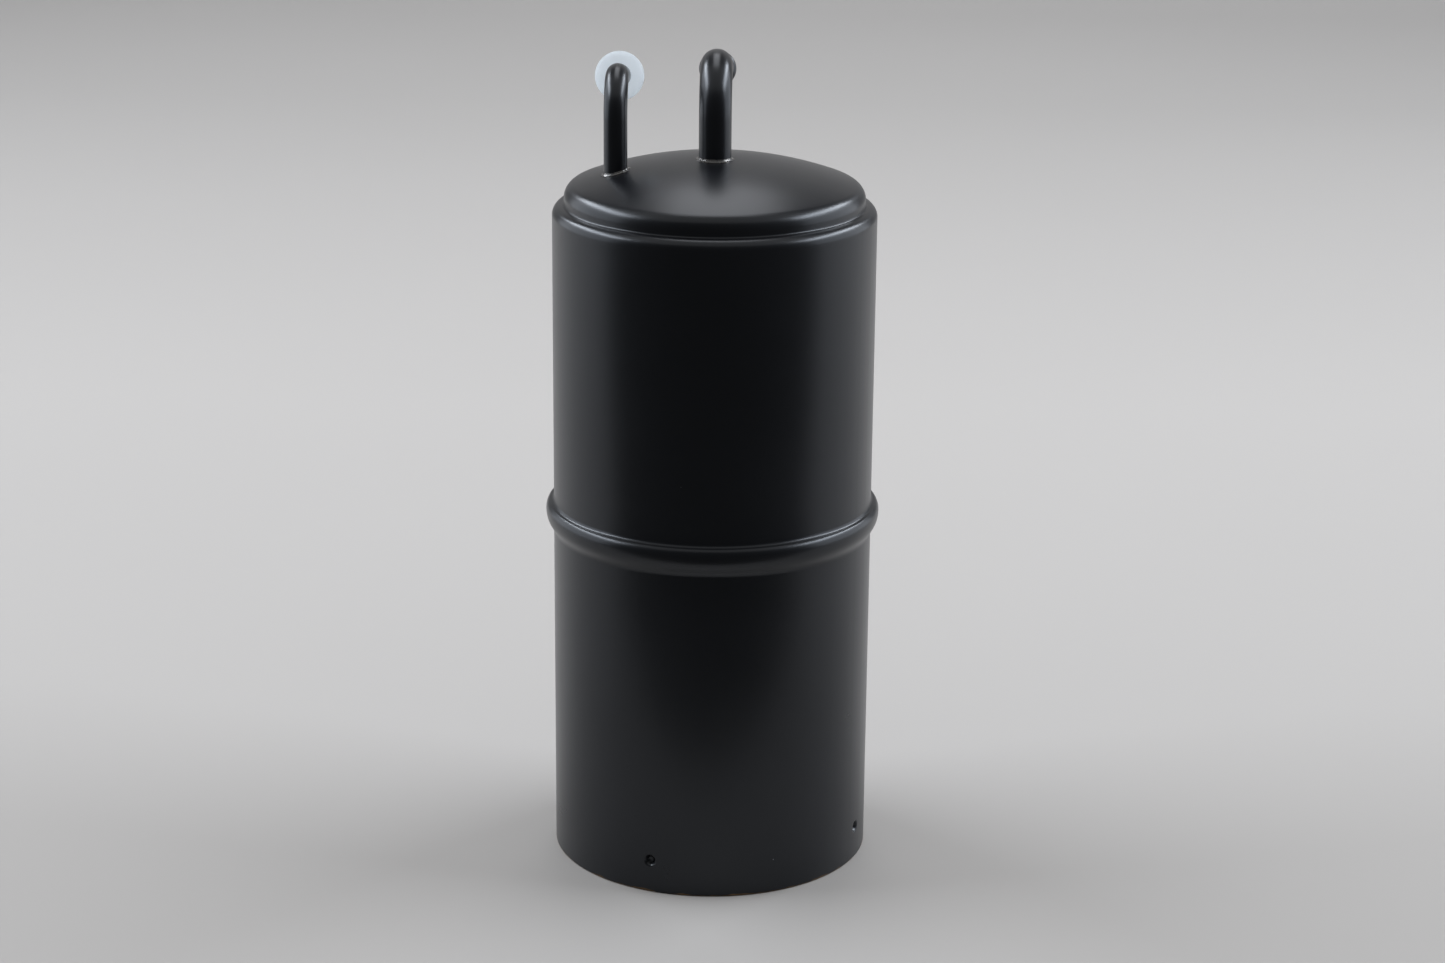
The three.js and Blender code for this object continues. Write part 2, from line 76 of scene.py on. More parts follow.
def tinted(nodes, links, value, dark, light):
    """A colour between dark and light, by a value from 0 to 1."""
    ramp = nodes.new("ShaderNodeValToRGB")
    ramp.color_ramp.elements[0].position, ramp.color_ramp.elements[1].position = 0.3, 0.7
    ramp.color_ramp.elements[0].color = (*dark, 1)
    ramp.color_ramp.elements[1].color = (*light, 1)
    links.new(value, ramp.inputs["Fac"])
    return ramp.outputs["Color"]


def mapped(nodes, links, value, start, end, low, high):
    """A value spread from start..end to low..high."""
    spread = nodes.new("ShaderNodeMapRange")
    for socket, number in (("From Min", start), ("From Max", end), ("To Min", low), ("To Max", high)):
        spread.inputs[socket].default_value = number
    links.new(value, spread.inputs["Value"])
    return spread.outputs["Result"]


def table_top(colour):
    """Pale matt paper with a faint mottle, and painted shade that darkens it towards its far end."""
    material, nodes, links, shader, place = new_material("pale table top")
    shader["Roughness"].default_value = 0.6
    shader["Specular IOR Level"].default_value = 0.2
    cloud = noise(nodes, links, place, 2.5, 3)
    pale = tinted(nodes, links, cloud, [c * 0.98 for c in colour], colour)
    parts = nodes.new("ShaderNodeSeparateXYZ")
    links.new(place, parts.inputs["Vector"])
    # Painted shade: from Y 0.4 to 1.0 the colour falls to 0.84 of itself, standing in for the light that
    # fades towards the backdrop.
    painted_falloff_shade = nodes.new("ShaderNodeVectorMath")
    painted_falloff_shade.operation = "SCALE"
    links.new(pale, painted_falloff_shade.inputs[0])
    links.new(mapped(nodes, links, parts.outputs["Y"], 0.4, 1.0, 1.0, 0.84), painted_falloff_shade.inputs["Scale"])
    links.new(painted_falloff_shade.outputs["Vector"], shader["Base Color"])
    return material


def backdrop_sweep():
    """A floor that turns up behind the tank in one soft curve."""
    half_width, front, back, turn, height = 3.0, -0.13, 1.3, 0.6, 2.4
    side = [(front, 0.0), (back, 0.0)]
    steps = 24
    for i in range(1, steps + 1):
        angle = math.pi / 2 * i / steps
        side.append((back + turn * math.sin(angle), turn * (1 - math.cos(angle))))
    side.append((back + turn, height))
    mesh = bpy.data.meshes.new("backdrop")
    points = [(x, y, z) for y, z in side for x in (-half_width, half_width)]
    faces = [(2 * i, 2 * i + 1, 2 * i + 3, 2 * i + 2) for i in range(len(side) - 1)]
    mesh.from_pydata(points, [], faces)
    mesh.shade_smooth()
    sweep = bpy.data.objects.new("backdrop", mesh)
    bpy.context.scene.collection.objects.link(sweep)
    mesh.materials.append(table_top((0.486, 0.465, 0.444)))
    return sweep


backdrop_sweep()


def soft_box(name, place, aim, width, height, watts, colour):
    data = bpy.data.lights.new(name, "AREA")
    data.shape = "RECTANGLE"
    data.size, data.size_y = width, height
    data.energy = watts
    data.color = colour
    light = bpy.data.objects.new(name, data)
    light.location = place
    light.rotation_mode = "QUATERNION"
    light.rotation_quaternion = (Vector(aim) - Vector(place)).to_track_quat("-Z", "Y")
    bpy.context.scene.collection.objects.link(light)


cool = (0.88, 0.93, 1.0)
soft_box("overhead box", (0.0, 0.78, 1.25), (0, 0.78, 0), 0.5, 1.15, 4.2, (0.96, 0.97, 1.0))
soft_box("wide ceiling", (0.0, -0.35, 1.6), (0, -0.35, 0), 2.4, 1.8, 6.0, (1.0, 0.99, 0.97))
for side, upper, lower in ((-1.15, 22.5, 4.4), (1.15, 23.5, 4.6)):
    near = side * 0.82
    soft_box("bright pane", (side, 0.5, 1.06), (0, 0.5, 1.06), 1.6, 0.40, upper, cool)
    soft_box("dim pane", (near, 0.33, 0.37), (0, 0.33, 0.37), 1.26, 0.71, lower, cool)

room = bpy.data.worlds.new("dim room")
bpy.context.scene.world = room
room.use_nodes = True
room_nodes, room_links = room.node_tree.nodes, room.node_tree.links
dim = room_nodes["Background"]
dim.inputs["Color"].default_value = (0.95, 0.97, 1.0, 1)
dim.inputs["Strength"].default_value = 0.09
pale = room_nodes.new("ShaderNodeBackground")
pale.inputs["Color"].default_value = (0.52, 0.52, 0.525, 1)
seen = room_nodes.new("ShaderNodeLightPath")
room_mix = room_nodes.new("ShaderNodeMixShader")
room_links.new(seen.outputs["Is Camera Ray"], room_mix.inputs["Fac"])
room_links.new(dim.outputs["Background"], room_mix.inputs[1])
room_links.new(pale.outputs["Background"], room_mix.inputs[2])
room_links.new(room_mix.outputs["Shader"], room_nodes["World Output"].inputs["Surface"])
bpy.context.scene.view_settings.view_transform = "Standard"

# The camera stands above the tubes' height, four fifths of a metre in front.
camera_data = bpy.data.cameras.new("camera")
camera_data.sensor_width = 36
camera_data.lens = 81.42
camera = bpy.data.objects.new("camera", camera_data)
bpy.context.scene.collection.objects.link(camera)
yaw, pitch, roll = (math.radians(angle) for angle in (-1.24, 17.583, 0.51))
ahead = Vector((math.sin(yaw) * math.cos(pitch), math.cos(yaw) * math.cos(pitch), -math.sin(pitch)))
level = Vector((math.cos(yaw), -math.sin(yaw), 0))
above = level.cross(ahead)
right = math.cos(roll) * level + math.sin(roll) * above
up = math.cos(roll) * above - math.sin(roll) * level
turn = Matrix((right, up, -ahead)).transposed().to_4x4()
camera.matrix_world = Matrix.Translation((19.5 * MM, -785.7 * MM, 345.1 * MM)) @ turn
bpy.context.scene.camera = camera

# ---------------------------------------------------------------- tank shell
# The can is two drawn steel shells: dome, step and upper wall in one, lapped over the rolled
# bead of the lower one, whose skirt is open at the foot. Satin black powder coat covers it all,
# worn through to bare steel only along the edge that it stands on.

can_radius = 40 * MM
can_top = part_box("tank_shell")[1].z
sheet = 1.2 * MM
bead_crest = 89.7 * MM
bead_stand = 1.95 * MM
shoulder_top = 167.6 * MM
riser_radius = 37.1 * MM
dome_radius = 97 * MM
knuckle_radius = 3.9 * MM


def arc(centre, radii, start, end, steps):
    """Points [radius, height] on an arc or a quarter ellipse, angles in degrees from outwards."""
    points = []
    for i in range(steps + 1):
        angle = math.radians(start + (end - start) * i / steps)
        points.append((centre[0] + radii[0] * math.cos(angle), centre[1] + radii[1] * math.sin(angle)))
    return points


def evenly(start, end, steps):
    """Points on a straight line, both ends included."""
    return [tuple(a + (b - a) * i / steps for a, b in zip(start, end)) for i in range(steps + 1)]


def bezier(a, b, c, d, steps):
    """Points on a cubic curve from a to d."""
    points = []
    for i in range(steps + 1):
        t = i / steps
        s = 1 - t
        points.append(tuple(s**3 * p + 3 * s * s * t * q + 3 * s * t * t * r + t**3 * w
                            for p, q, r, w in zip(a, b, c, d)))
    return points


def bead_outline(wall, inset):
    """Out of the lower wall in a long curve, over the crest to a crease, and back up a short flare."""
    crest_radius = wall + bead_stand
    foot, rise = bead_crest - 5.7 * MM, 1.9 * MM
    crown = (wall, bead_crest)
    points = bezier((wall, foot), (wall, foot + rise), (crest_radius, bead_crest - 3.4 * MM),
                    (crest_radius, bead_crest), 24)
    points += arc(crown, (bead_stand, 2.4 * MM), 0, 56, 12)[1:]
    crease = points[-1]
    flare = 1.1 * MM + inset
    if not inset:
        points.append((crease[0] - 0.22 * MM, crease[1] + 0.10 * MM))
    points += arc((wall + flare, crease[1] + flare + 0.05 * MM), (flare, flare), 262, 180, 8)
    return points


def can_outline(inset):
    """The skin's outline from the foot to the top of the dome, moved inwards by inset."""
    wall = can_radius - inset
    dome_centre = can_top - dome_radius
    knuckle_r = riser_radius - knuckle_radius
    knuckle_z = dome_centre + math.sqrt((dome_radius - knuckle_radius) ** 2 - knuckle_r**2)
    dome_start = math.degrees(math.atan2(knuckle_z - dome_centre, knuckle_r))
    shoulder_round = 2.6 * MM
    step_fillet = 0.6 * MM
    skirt = 14 * MM
    bead = bead_outline(wall, inset)
    points = evenly((wall, 0.25 * MM), (wall, skirt), 66)
    points += evenly((wall, skirt), bead[0], 10)[1:]
    points += bead[1:]
    points += evenly(bead[-1], (wall, shoulder_top - shoulder_round - MM), 10)[1:]
    points += arc((can_radius - shoulder_round, shoulder_top - shoulder_round),
                  (shoulder_round - inset,) * 2, 0, 88, 14)
    points += arc((riser_radius + step_fillet, shoulder_top + step_fillet),
                  (step_fillet + inset,) * 2, 266, 180, 10)
    points += arc((knuckle_r, knuckle_z), (knuckle_radius - inset,) * 2, 0, dome_start, 16)
    points += arc((0, dome_centre), (dome_radius - inset,) * 2, dome_start, 90, 28)[1:]
    return points


def turned(name, outline, columns):
    """Turns a closed outline [radius, height] round the axis. Columns are the angles, in order."""
    shape = bmesh.new()
    rows = []
    for radius, height in outline:
        if radius < 1e-7:
            pole = shape.verts.new((0, 0, height))
            rows.append([pole] * len(columns))
        else:
            rows.append([shape.verts.new((radius * math.sin(angle), -radius * math.cos(angle), height))
                         for angle in columns])
    for low, high in zip(rows, rows[1:] + rows[:1]):
        for i in range(len(columns)):
            j = (i + 1) % len(columns)
            corners = []
            for vertex in (low[i], low[j], high[j], high[i]):
                if vertex not in corners:
                    corners.append(vertex)
            if len(corners) > 2:
                shape.faces.new(corners)
    bmesh.ops.recalc_face_normals(shape, faces=shape.faces)
    mesh = bpy.data.meshes.new(name)
    shape.to_mesh(mesh)
    shape.free()
    mesh.shade_smooth()
    mesh.set_sharp_from_angle(angle=math.radians(45))
    piece = bpy.data.objects.new(name, mesh)
    bpy.context.scene.collection.objects.link(piece)
    return piece


stake_count = 4
stake_facing = math.radians(-20.5)  # from straight ahead, towards +X
stake_height = 8.5 * MM
stake_depth = 1.3 * MM
stake_reach = math.radians(5)


def can_columns():
    """Angles round the can, closer together across each stake mark."""
    angles = []
    quarter = 2 * math.pi / stake_count
    for k in range(stake_count):
        middle_angle = stake_facing + k * quarter
        angles += [middle_angle - stake_reach + 2 * stake_reach * i / 30 for i in range(30)]
        start, end = middle_angle + stake_reach, middle_angle + quarter - stake_reach
        angles += [start + (end - start) * i / 36 for i in range(36)]
    return angles


def punch_stakes(mesh):
    """Pushes the wall in where a blunt punch hit it: a cone with a rounded lip and a flat end."""
    for vertex in mesh.vertices:
        x, y, z = vertex.co
        if z > stake_height + 4 * MM:
            continue
        facing = math.atan2(x, -y)
        for k in range(stake_count):
            off = (facing - stake_facing - k * math.pi / 2 + math.pi) % (2 * math.pi) - math.pi
            away = math.hypot(off * can_radius, z - stake_height)
            if away < 2.4 * MM:
                fall = min(1.0, max(0.0, (1.7 * MM - away) / (1.25 * MM)))
                push = stake_depth * fall * fall * (3 - 2 * fall)
                out = math.hypot(x, y)
                vertex.co = (x * (out - push) / out, y * (out - push) / out, z)


def roughened(nodes, links, shader, value, deep, strength):
    bump = nodes.new("ShaderNodeBump")
    bump.inputs["Strength"].default_value = strength
    bump.inputs["Distance"].default_value = deep
    links.new(value, bump.inputs["Height"])
    links.new(bump.outputs["Normal"], shader["Normal"])


def black_powder_coat():
    """Satin black: soft mottle in the gloss, fine orange peel, a few dust specks, a worn foot."""
    material, nodes, links, shader, place = new_material("black powder coat")
    shader["IOR"].default_value = 1.48
    shader["Specular Tint"].default_value = (0.90, 0.94, 1.0, 1)
    mottle = noise(nodes, links, place, 30, 4)
    links.new(mapped(nodes, links, mottle, 0.3, 0.7, 0.27, 0.31), shader["Roughness"])
    tint = tinted(nodes, links, mottle, (0.0042, 0.0046, 0.0058), (0.0065, 0.0070, 0.0088))

    dust = nodes.new("ShaderNodeTexVoronoi")
    dust.inputs["Scale"].default_value = 160
    links.new(place, dust.inputs["Vector"])
    near = nodes.new("ShaderNodeMath")
    near.operation = "LESS_THAN"
    near.inputs[1].default_value = 0.02
    links.new(dust.outputs["Distance"], near.inputs[0])
    lucky = nodes.new("ShaderNodeSeparateColor")
    links.new(dust.outputs["Color"], lucky.inputs["Color"])
    chosen = nodes.new("ShaderNodeMath")
    chosen.operation = "GREATER_THAN"
    chosen.inputs[1].default_value = 0.6
    links.new(lucky.outputs["Red"], chosen.inputs[0])
    speck = nodes.new("ShaderNodeMath")
    speck.operation = "MULTIPLY"
    links.new(near.outputs["Value"], speck.inputs[0])
    links.new(chosen.outputs["Value"], speck.inputs[1])
    dusted = nodes.new("ShaderNodeMix")
    dusted.data_type = "RGBA"
    dusted.inputs["B"].default_value = (0.25, 0.26, 0.28, 1)
    links.new(speck.outputs["Value"], dusted.inputs["Factor"])
    links.new(tint, dusted.inputs["A"])

    height = nodes.new("ShaderNodeSeparateXYZ")
    links.new(place, height.inputs["Vector"])
    edge = nodes.new("ShaderNodeMath")
    edge.operation = "MULTIPLY_ADD"
    edge.inputs[1].default_value = -0.0016
    links.new(noise(nodes, links, place, 220), edge.inputs[0])
    links.new(height.outputs["Z"], edge.inputs[2])
    worn = mapped(nodes, links, edge.outputs["Value"], -0.0003, -0.0006, 0, 1)
    bare = nodes.new("ShaderNodeMix")
    bare.data_type = "RGBA"
    bare.inputs["B"].default_value = (0.16, 0.105, 0.06, 1)
    links.new(worn, bare.inputs["Factor"])
    links.new(dusted.outputs["Result"], bare.inputs["A"])
    links.new(bare.outputs["Result"], shader["Base Color"])
    links.new(worn, shader["Metallic"])
    roughened(nodes, links, shader, noise(nodes, links, place, 700), 0.00002, 0.2)
    return material


foot_edge = [(can_radius - 0.25 * MM, 0), (can_radius - sheet + 0.25 * MM, 0)]
skin = can_outline(0)[::-1] + foot_edge + can_outline(sheet)
shell = turned("can_skin", skin, can_columns())
punch_stakes(shell.data)
coat = black_powder_coat()
shell.data.materials.append(coat)
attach(shell, "tank")
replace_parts(shell, "tank_shell")

# ---------------------------------------------------------------- suction tube and return tube
# Drawn steel tube, bent back over the dome in a little more than a quarter turn and painted with
# the can. The wide one has a ring rolled out near its end to keep the hose on. The free end of
# each has a broken edge.


def geometry_tree(name, sizes):
    """An empty node tree with a named input for each size."""
    tree = bpy.data.node_groups.new(name, "GeometryNodeTree")
    tree.interface.new_socket("Geometry", in_out="INPUT", socket_type="NodeSocketGeometry")
    for size, value in sizes.items():
        kind = "NodeSocketInt" if isinstance(value, int) else "NodeSocketFloat"
        tree.interface.new_socket(size, in_out="INPUT", socket_type=kind)
    tree.interface.new_socket("Geometry", in_out="OUTPUT", socket_type="NodeSocketGeometry")
    return tree, tree.nodes.new("NodeGroupInput").outputs


def joined(tree, kind, settings=None, **inputs):
    """Adds a node and joins its inputs, each a number or another node's output."""
    node = tree.nodes.new(kind)
    for attribute, value in (settings or {}).items():
        setattr(node, attribute, value)
    for key, value in inputs.items():
        socket = node.inputs[int(key[1:])] if key[1:].isdigit() else node.inputs[key.replace("_", " ")]
        if isinstance(value, bpy.types.NodeSocket):
            tree.links.new(value, socket)
        else:
            socket.default_value = value
    return node.outputs


def worked(tree, operation, a, b=0.0):
    return joined(tree, "ShaderNodeMath", {"operation": operation}, i0=a, i1=b)[0]


def close_tree(tree, shape, material):
    whole = joined(tree, "GeometryNodeRealizeInstances", Geometry=shape)[0]
    painted = joined(tree, "GeometryNodeSetMaterial", Geometry=whole, Material=material)[0]
    tree.links.new(painted, tree.nodes.new("NodeGroupOutput").inputs[0])


def grown(name, mesh, tree, sizes):
    """The mesh as the tree makes it, as a plain object with no modifier left on it."""
    piece = bpy.data.objects.new(name, mesh)
    bpy.context.scene.collection.objects.link(piece)
    modifier = piece.modifiers.new(name, "NODES")
    modifier.node_group = tree
    for socket in tree.interface.items_tree:
        if socket.in_out == "INPUT" and socket.name in sizes:
            modifier[socket.identifier] = sizes[socket.name]
    bpy.context.view_layer.update()
    ready = piece.evaluated_get(bpy.context.evaluated_depsgraph_get())
    plain = bpy.data.meshes.new_from_object(ready)
    piece.modifiers.clear()
    piece.data = plain
    shape = bmesh.new()
    shape.from_mesh(plain)
    bmesh.ops.recalc_face_normals(shape, faces=shape.faces)
    shape.to_mesh(plain)
    shape.free()
    plain.shade_smooth()
    plain.set_sharp_from_angle(angle=math.radians(40))
    return piece


def bending_tree(sizes, material):
    """Bends a straight tube: up its leg, round the whole turn, then straight out along its tail."""
    tree, given = geometry_tree("bend the tube", sizes)
    place = joined(tree, "GeometryNodeInputPosition")[0]
    x, y, along = joined(tree, "ShaderNodeSeparateXYZ", Vector=place)
    leg, bend, whole = given["Leg length"], given["Bend radius"], given["Whole turn"]
    past_leg = worked(tree, "SUBTRACT", along, leg)
    angle = worked(tree, "MAXIMUM", worked(tree, "DIVIDE", past_leg, bend), 0.0)
    angle = worked(tree, "MINIMUM", angle, whole)
    past_bend = worked(tree, "SUBTRACT", past_leg, worked(tree, "MULTIPLY", bend, whole))
    past_bend = worked(tree, "MAXIMUM", past_bend, 0.0)
    sine, cosine = worked(tree, "SINE", angle), worked(tree, "COSINE", angle)
    back = worked(tree, "MULTIPLY", bend, worked(tree, "SUBTRACT", 1.0, cosine))
    back = worked(tree, "ADD", back, worked(tree, "MULTIPLY", past_bend, sine))
    back = worked(tree, "ADD", back, worked(tree, "MULTIPLY", y, cosine))
    rise = worked(tree, "ADD", worked(tree, "MINIMUM", along, leg), worked(tree, "MULTIPLY", bend, sine))
    rise = worked(tree, "ADD", rise, worked(tree, "MULTIPLY", past_bend, cosine))
    rise = worked(tree, "SUBTRACT", rise, worked(tree, "MULTIPLY", y, sine))
    spot = joined(tree, "ShaderNodeCombineXYZ", X=worked(tree, "ADD", given["Place X"], x),
                  Y=worked(tree, "ADD", given["Place Y"], back),
                  Z=worked(tree, "ADD", given["Foot"], rise))[0]
    bent = joined(tree, "GeometryNodeSetPosition", Geometry=given["Geometry"], Position=spot)[0]
    close_tree(tree, bent, material)
    return tree


def tube(name, radius, bore, place, foot, bend, top, fall, tail, ring=None):
    """A straight tube turned in fine steps where it will bend, then bent by the tree."""
    leg = top - bend - foot
    whole = math.radians(90 + fall)
    bend_end = leg + bend * whole
    length = bend_end + tail
    lip = 0.35 * MM
    side = evenly((radius, 0), (radius, leg), 24) + evenly((radius, leg), (radius, bend_end), 48)[1:]
    if ring:
        side += ring(radius, length)
    side += evenly(side[-1], (radius, length - lip), 6)[1:]
    side += arc((radius - lip, length - lip), (lip, lip), 0, 90, 5)[1:]
    side += arc((bore + lip, length - lip), (lip, lip), 90, 180, 5)
    side += evenly((bore, length - lip), (bore, bend_end), 6)[1:]
    side += evenly((bore, bend_end), (bore, leg), 48)[1:] + evenly((bore, leg), (bore, 0), 6)[1:]
    straight = turned(name + "_straight", side, [2 * math.pi * i / 56 for i in range(56)])
    mesh = straight.data
    bpy.data.objects.remove(straight)
    sizes = {"Leg length": leg, "Bend radius": bend, "Whole turn": whole, "Foot": foot,
             "Place X": place[0], "Place Y": place[1]}
    return grown(name, mesh, bending_tree(sizes, coat), sizes)


def rolled_ring(radius, length):
    """The hose ring's outline: out of the tube, over a round crest and in again."""
    stand, half, ease = 0.65 * MM, 1.5 * MM, 0.45 * MM
    middle_of_ring = length - 3.5 * MM
    low, high = middle_of_ring - half, middle_of_ring + half
    up_side = bezier((radius, low), (radius, low + ease), (radius + stand, low + ease),
                     (radius + stand, middle_of_ring), 10)
    down_side = bezier((radius + stand, middle_of_ring), (radius + stand, high - ease),
                       (radius, high - ease), (radius, high), 10)
    return up_side + down_side[1:]


def tail_place(place, bend, top, fall):
    """Where a tube's tail starts, as a turn and a shift of a piece turned about Z."""
    whole = math.radians(90 + fall)
    start = (place[0], place[1] + bend * (1 - math.cos(whole)), top - bend * (1 - math.sin(whole)))
    return Matrix.Translation(start) @ Matrix.Rotation(-whole, 4, "X")


suction_place, suction_radius = (0, -1.6 * MM), 4 * MM
return_place, return_radius = (-24.2 * MM, -3.7 * MM), 2.9 * MM
return_bend, return_top, return_fall, return_tail = 9 * MM, 198.1 * MM, 12, 7 * MM
wide = tube("suction_tube", suction_radius, 3 * MM, suction_place, 50 * MM, 11 * MM, 200.08 * MM,
            18, 9.6 * MM, rolled_ring)
narrow = tube("return_tube", return_radius, 1.9 * MM, return_place, 169.3 * MM, return_bend,
              return_top, return_fall, return_tail)
for piece, node in ((wide, "suction_pipe"), (narrow, "return_pipe")):
    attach(piece, "tank")
    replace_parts(piece, node)

# ---------------------------------------------------------------- brazed fillets
# A thin hollow fillet of brazing alloy runs round the foot of each tube. It is well under a
# millimetre wide and lies on the dome; its lighter, partly metallic colour is a painted highlight.


def braze_with_painted_highlight():
    material, nodes, links, shader, place = new_material("braze with painted highlight")
    # The lighter, partly metallic patches are a painted highlight: they brighten the hollow fillet like
    # the gloss line it catches.
    patches = noise(nodes, links, place, 700, 3)
    links.new(mapped(nodes, links, patches, 0.3, 0.7, 0.5, 1.0), shader["Metallic"])
    shade = tinted(nodes, links, patches, (0.06, 0.06, 0.06), (0.25, 0.24, 0.23))
    links.new(shade, shader["Base Color"])
    links.new(mapped(nodes, links, patches, 0.3, 0.7, 0.30, 0.22), shader["Roughness"])
    return material


braze_highlight_paint = braze_with_painted_highlight()


def fillet(name, place, radius, width, height):
    hollow = arc((radius + width, height), (width, height), 180, 270, 7)
    under = 0.05 * MM
    shape = bmesh.new()
    columns, rows = 72, []
    for out, lift in [(radius, 0)] + hollow + [(radius + width, 0)]:
        row = []
        for i in range(columns):
            angle = 2 * math.pi * i / columns
            x, y = place[0] + out * math.cos(angle), place[1] + out * math.sin(angle)
            dome = can_top - dome_radius + math.sqrt(dome_radius**2 - x * x - y * y)
            row.append(shape.verts.new((x, y, dome + (lift if lift else under))))
        rows.append(row)
    for low, high in zip(rows, rows[1:] + rows[:1]):
        for i in range(columns):
            j = (i + 1) % columns
            shape.faces.new((low[i], low[j], high[j], high[i]))
    bmesh.ops.remove_doubles(shape, verts=shape.verts, dist=0.001 * MM)
    bmesh.ops.recalc_face_normals(shape, faces=shape.faces)
    mesh = bpy.data.meshes.new(name)
    shape.to_mesh(mesh)
    shape.free()
    mesh.shade_smooth()
    mesh.materials.append(braze_highlight_paint)
    piece = bpy.data.objects.new(name, mesh)
    bpy.context.scene.collection.objects.link(piece)
    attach(piece, "tank")
    return piece


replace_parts(fillet("suction_fillet", suction_place, suction_radius + 0.02 * MM, 0.75 * MM, 0.7 * MM),
            "suction_pipe_braze")
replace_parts(fillet("return_fillet", return_place, return_radius + 0.02 * MM, 0.65 * MM, 0.6 * MM),
            "return_pipe_braze")

# ---------------------------------------------------------------- dust plug
# A moulded cap of soft white polythene: a thin-walled taper cup that grips the bore of the
# narrow tube, and a wide flange with a rolled rim to pull it by. Light passes through it a little.


def white_polythene():
    material, nodes, links, shader, place = new_material("white polythene")
    cloud = noise(nodes, links, place, 90, 3)
    tone = tinted(nodes, links, cloud, (0.90, 0.94, 0.97), (0.94, 0.97, 0.99))
    links.new(tone, shader["Base Color"])
    links.new(mapped(nodes, links, cloud, 0.3, 0.7, 0.38, 0.48), shader["Roughness"])
    roughened(nodes, links, shader, noise(nodes, links, place, 1600), 0.00001, 0.3)
    glow = nodes.new("ShaderNodeBsdfTranslucent")
    links.new(tone, glow.inputs["Color"])
    through = nodes.new("ShaderNodeMixShader")
    through.inputs["Fac"].default_value = 0.85
    links.new(nodes["Principled BSDF"].outputs["BSDF"], through.inputs[1])
    links.new(glow.outputs["BSDF"], through.inputs[2])
    links.new(through.outputs["Shader"], nodes["Material Output"].inputs["Surface"])
    return material


flange_radius = 6.15 * MM
cup_face = return_tail + 0.3 * MM
cup_neck, cup_tip = 1.7 * MM, 1.45 * MM
cup_end = cup_face - 8 * MM
rim = 0.55 * MM
cup = [(0, cup_end), (cup_tip - 0.2 * MM, cup_end)]
cup += arc((cup_tip - 0.2 * MM, cup_end + 0.2 * MM), (0.2 * MM, 0.2 * MM), 270, 360, 4)[1:]
cup += evenly(cup[-1], (cup_neck, cup_face), 6)[1:]
cup += evenly((cup_neck + 0.1 * MM, cup_face), (flange_radius - rim, cup_face + 0.1 * MM), 6)
cup += arc((flange_radius - rim, cup_face + 0.1 * MM + rim), (rim, rim), 270, 450, 12)[1:]
cup += evenly(cup[-1], (flange_radius - 1.6 * MM, cup_face + 0.8 * MM), 3)[1:]
cup += evenly(cup[-1], (cup_neck - 0.4 * MM, cup_face + 0.8 * MM), 5)[1:]
cup += evenly(cup[-1], (cup_tip - 0.6 * MM, cup_end + 0.6 * MM), 5)[1:] + [(0, cup_end + 0.6 * MM)]
plug = turned("dust_cap", cup, [2 * math.pi * i / 64 for i in range(64)])
plug.data.transform(tail_place(return_place, return_bend, return_top, return_fall))
plug.data.materials.append(white_polythene())
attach(plug, "dust_plug")
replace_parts(plug, "return_dust_plug")

# ---------------------------------------------------------------- bottom plug
# A die-cast plug closes the foot of the can. The four stakes press into its wide groove, the
# narrow groove above takes the O-ring, and a boss in the middle carries the drain plug.


def eased(outline, amount, steps=3):
    """A closed outline with each corner rounded off by about the amount."""
    points = []
    for before, corner, after in zip(outline[-1:] + outline[:-1], outline, outline[1:] + outline[:1]):
        if corner[0] < 1e-7:
            points.append(corner)
            continue
        near = []
        for other in (before, after):
            reach = min(amount, math.dist(other, corner) / 2.5)
            share = reach / math.dist(other, corner)
            near.append(tuple(c + (o - c) * share for c, o in zip(corner, other)))
        points += bezier(near[0], corner, corner, near[1], steps)
    return points


def ringed(name, outline, columns=96):
    angles = [2 * math.pi * i / columns for i in range(columns)]
    return turned(name, [(r * MM, z * MM) for r, z in outline], angles)


def cast_and_painted():
    """The can's paint over a cast skin: coarser in its gloss and pitted finely."""
    material, nodes, links, shader, place = new_material("painted casting")
    skin = noise(nodes, links, place, 120, 5)
    shade = tinted(nodes, links, skin, (0.006, 0.0065, 0.0078), (0.012, 0.0125, 0.014))
    links.new(shade, shader["Base Color"])
    links.new(mapped(nodes, links, skin, 0.3, 0.7, 0.38, 0.52), shader["Roughness"])
    roughened(nodes, links, shader, noise(nodes, links, place, 900, 3), 0.00004, 0.4)
    return material


plug_outline = [
    (6.1, 9.4), (10, 9.4), (10, 3), (15, 3), (15, 9.4), (32, 9.4), (32, 3), (38.4, 3), (38.4, 5.9),
    (36.4, 5.9), (36.4, 11.1), (38.4, 11.1), (38.4, 13.1), (36, 13.1), (36, 16.1), (38.4, 16.1),
    (38.4, 18.5), (6.1, 18.5),
]
casting = ringed("bottom_casting", eased(plug_outline, 0.6))
casting.data.materials.append(cast_and_painted())
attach(casting, "tank")
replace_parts(casting, "bottom_plug")

# ---------------------------------------------------------------- drain plug and washer
# A zinc plated hexagon plug with turned rings of thread and a washer of soft copper. The head's
# corners are chamfered, and the washer's edges are rounded by the press.


def plated(name, dark, light, rough_low, rough_high):
    """Plated metal: cloudy bright colour, drawn streaks round the axis, and fine grain."""
    material, nodes, links, shader, place = new_material(name)
    shader["Metallic"].default_value = 1
    stretch = nodes.new("ShaderNodeMapping")
    stretch.inputs["Scale"].default_value = (1, 1, 9)
    links.new(place, stretch.inputs["Vector"])
    cloud = noise(nodes, links, stretch.outputs["Vector"], 60, 5)
    links.new(tinted(nodes, links, cloud, dark, light), shader["Base Color"])
    links.new(mapped(nodes, links, cloud, 0.3, 0.7, rough_low, rough_high), shader["Roughness"])
    roughened(nodes, links, shader, noise(nodes, links, place, 1300, 3), 0.00001, 0.35)
    return material


